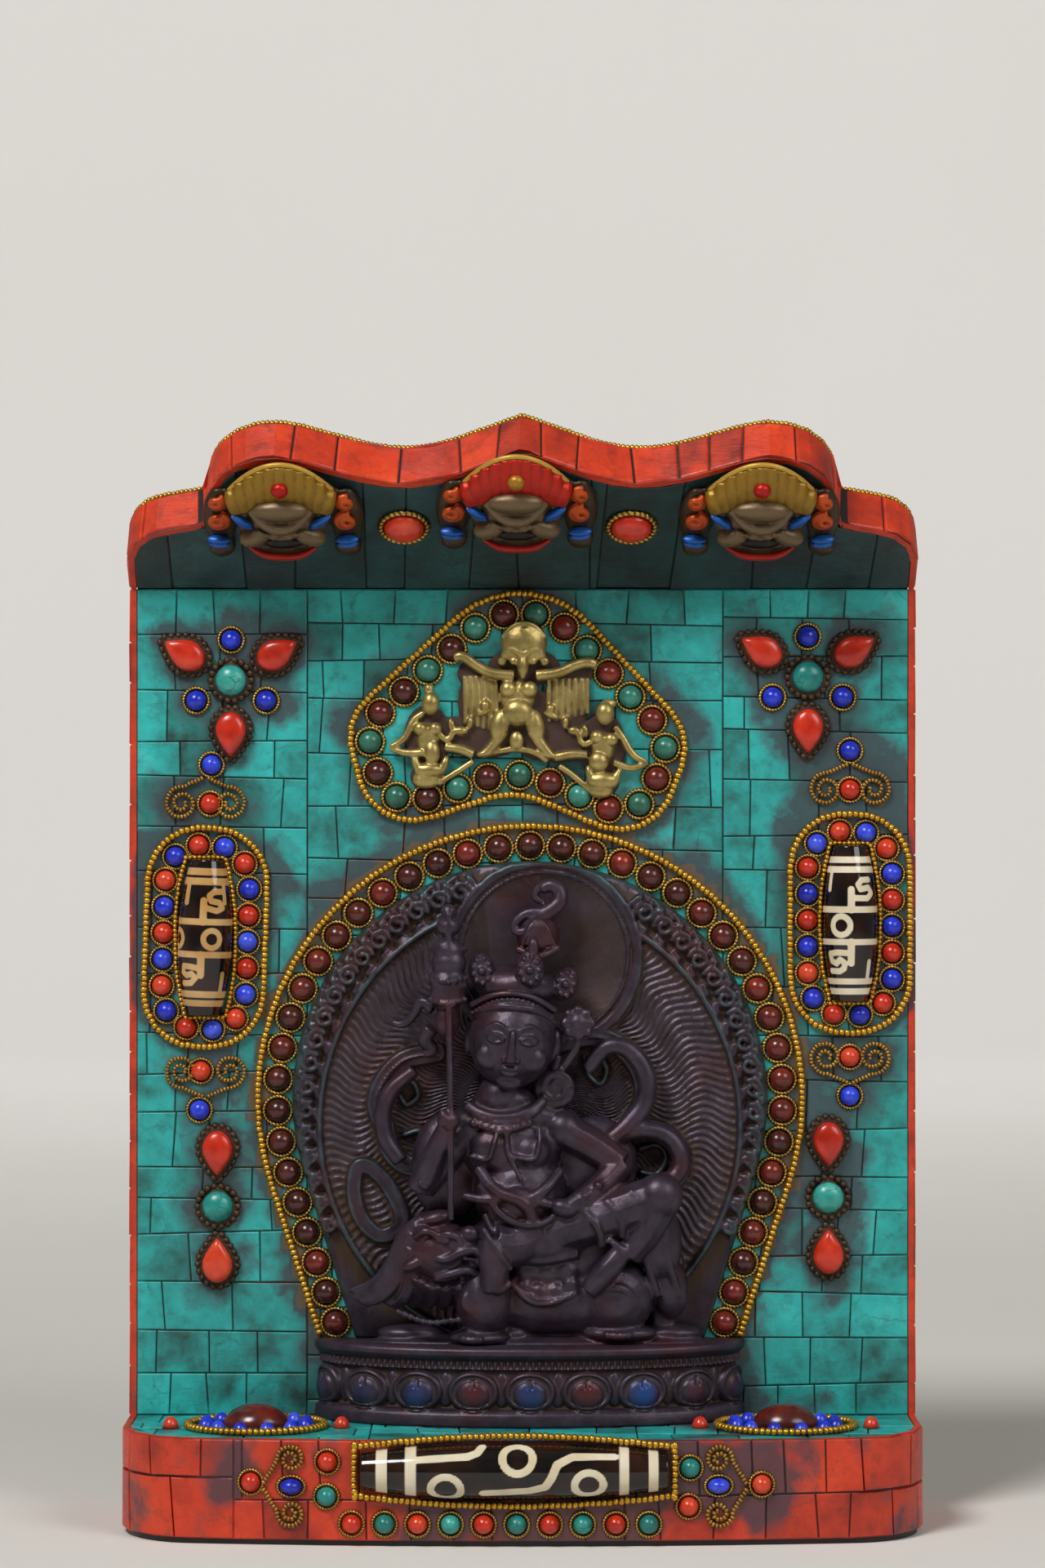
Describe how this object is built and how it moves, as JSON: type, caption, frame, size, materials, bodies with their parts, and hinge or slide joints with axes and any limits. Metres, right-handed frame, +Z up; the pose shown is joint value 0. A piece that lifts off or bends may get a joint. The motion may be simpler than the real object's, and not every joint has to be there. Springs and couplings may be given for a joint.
{
  "type": "tabletop shrine niche",
  "caption": "Tabletop shrine niche: plinth, back panel and leaning cloud-shaped canopy faced with turquoise and coral chips, holding a bronze relief framed by set stones and gold rope.",
  "frame": {"origin": "centre of the bounding box at the underside of the base board", "axes": "+Z up, -Y to the front, +X to the viewer's right"},
  "size_m": [0.212, 0.0738, 0.2958],
  "materials": {
    "lacquered_wood": "satin",
    "turquoise": "satin",
    "coral": "satin",
    "gilt_rope": "polished",
    "brass": "aged",
    "bronze": "aged",
    "agate": "polished",
    "jade": "polished",
    "lapis": "polished",
    "banded_agate": "polished"
  },
  "bodies": {
    "root": {"base_board": "lacquered_wood", "plinth_core": "lacquered_wood", "plinth_coral_band": "coral", "plinth_turquoise_top": "turquoise", "back_panel_core": "lacquered_wood", "panel_turquoise_front": "turquoise", "panel_turquoise_back": "turquoise", "panel_coral_edge_left": "coral", "panel_coral_edge_right": "coral", "canopy_core": "lacquered_wood", "canopy_turquoise_soffit": "turquoise", "canopy_turquoise_top": "turquoise", "canopy_coral_edge": "coral", "canopy_rope": "gilt_rope", "guardian_mask_left": "brass", "guardian_mask_centre": "brass", "guardian_mask_right": "brass", "canopy_cabochons": "coral", "crest_plaque": "brass", "crest_agate_beads": "agate", "crest_jade_beads": "jade", "crest_rope": "gilt_rope", "halo_plate": "bronze", "deity_on_lion": "bronze", "lotus_pedestal": "bronze", "halo_beads": "agate", "halo_rope": "gilt_rope", "dzi_bead_left": "banded_agate", "dzi_bead_right": "banded_agate", "dzi_rope_left": "gilt_rope", "dzi_rope_right": "gilt_rope", "panel_coral_beads": "coral", "panel_lapis_beads": "lapis", "filigree_scrolls": "gilt_rope", "flower_settings": "brass", "panel_coral_drops": "coral", "panel_turquoise_rounds": "turquoise", "front_dzi_bead": "banded_agate", "front_dzi_rope": "gilt_rope", "plinth_coral_beads": "coral", "plinth_turquoise_beads": "turquoise", "plinth_lapis_beads": "lapis", "ledge_agates": "agate", "ledge_rims": "gilt_rope"}
  },
  "joints": []
}
